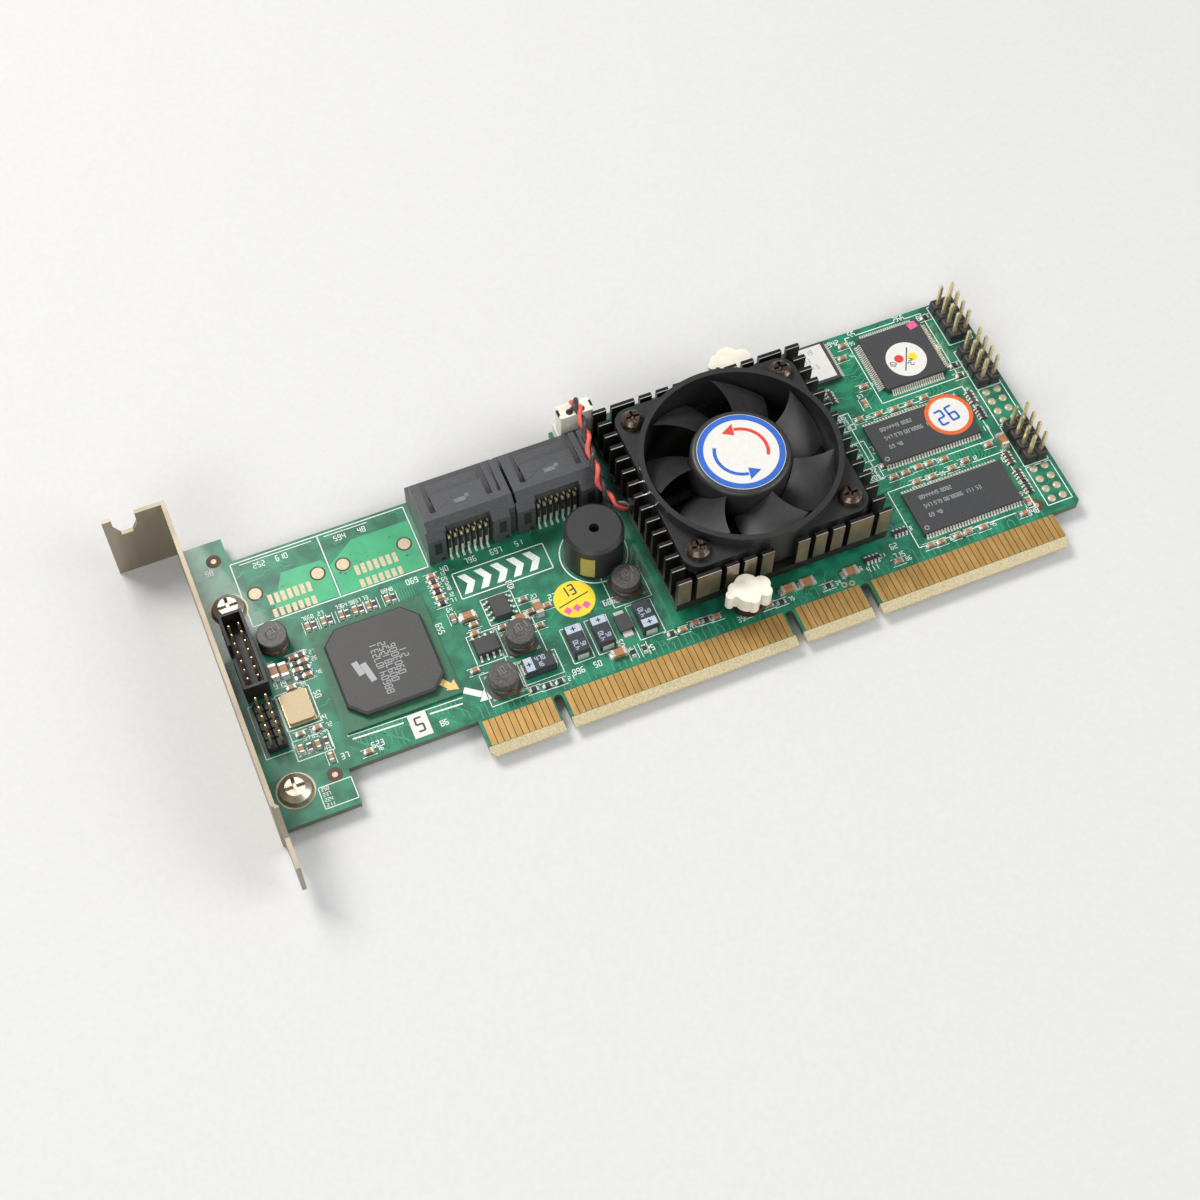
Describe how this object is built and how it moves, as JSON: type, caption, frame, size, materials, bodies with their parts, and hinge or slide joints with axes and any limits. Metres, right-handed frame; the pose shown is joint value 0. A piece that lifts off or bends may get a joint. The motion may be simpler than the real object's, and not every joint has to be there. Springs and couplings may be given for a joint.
{
  "type": "raid controller card",
  "caption": "Low-profile storage controller card with a bracket, an edge connector, stacked drive sockets, a finned heatsink and a spinning fan.",
  "frame": {"origin": "corner of the edge connector nearest the bracket, on the component face of the board", "axes": "+X along the card away from the bracket, +Y from the edge connector to the far edge, +Z out of the component face"},
  "size_m": [0.1822, 0.0792, 0.0193],
  "materials": {
    "board_green": "satin solder mask",
    "gold_contact": "gold plated",
    "bracket_steel": "satin",
    "nickel_screw": "bright",
    "dark_screw": "black oxide",
    "chip_black": "moulded",
    "substrate_green": "satin",
    "housing_black": "moulded",
    "socket_grey": "moulded",
    "plug_white": "nylon",
    "tin_lead": "tinned",
    "can_metal": "satin",
    "copper": "enamelled",
    "ferrite": "sintered",
    "tantalum_grey": "moulded",
    "ceramic_tan": "fired",
    "resistor_black": "glazed",
    "pad_grey": "soft",
    "sink_black": "black anodised",
    "fan_black": "moulded",
    "label_white": "printed",
    "shaft_steel": "ground",
    "lead_red": "insulated"
  },
  "bodies": {
    "card": {"circuit_board": "board_green", "edge_contacts": "gold_contact", "mounting_bracket": "bracket_steel", "bracket_screw_1": "nickel_screw", "bracket_screw_2": "nickel_screw", "controller_substrate": "substrate_green", "controller_cap": "chip_black", "battery_header_shroud": "housing_black", "battery_header_pins": "gold_contact", "service_header_base": "housing_black", "service_header_pins": "gold_contact", "choke_small": "ferrite", "oscillator_can": "can_metal", "drive_socket_1": "socket_grey", "drive_socket_contacts_1": "gold_contact", "drive_socket_2": "socket_grey", "drive_socket_contacts_2": "gold_contact", "buzzer_case": "housing_black", "choke_bases": "ferrite", "choke_windings": "copper", "choke_tops": "ferrite", "tantalum_capacitors": "tantalum_grey", "tantalum_leads": "tin_lead", "regulator_bodies": "chip_black", "regulator_leads": "tin_lead", "diode_body": "chip_black", "processor_package": "chip_black", "thermal_pad": "pad_grey", "heatsink": "sink_black", "heatsink_fins": "sink_black", "retention_pin_1": "plug_white", "retention_pin_2": "plug_white", "fan_frame": "fan_black", "fan_stator": "copper", "fan_screw_1": "dark_screw", "fan_screw_2": "dark_screw", "fan_screw_3": "dark_screw", "fan_screw_4": "dark_screw", "fan_header": "plug_white", "fan_plug": "plug_white", "memory_chip_1": "chip_black", "memory_chip_2": "chip_black", "memory_chip_leads": "tin_lead", "logic_chip": "chip_black", "logic_chip_leads": "tin_lead", "flash_chip": "chip_black", "flash_chip_leads": "tin_lead", "pin_header_bases": "housing_black", "pin_header_pins": "gold_contact", "solder_tails": "tin_lead", "ceramic_capacitors": "ceramic_tan", "chip_resistors": "resistor_black", "fan_lead": "lead_red"},
    "fan_rotor_body": {"fan_rotor": "fan_black", "fan_shaft": "shaft_steel", "fan_label": "label_white"}
  },
  "joints": [
    {"name": "fan_spin", "type": "hinge", "parent": "card", "child": "fan_rotor_body", "pos_m": [0.0657, 0.0355, 0.0106], "axis": [0, 0, 1], "continuous": true}
  ]
}
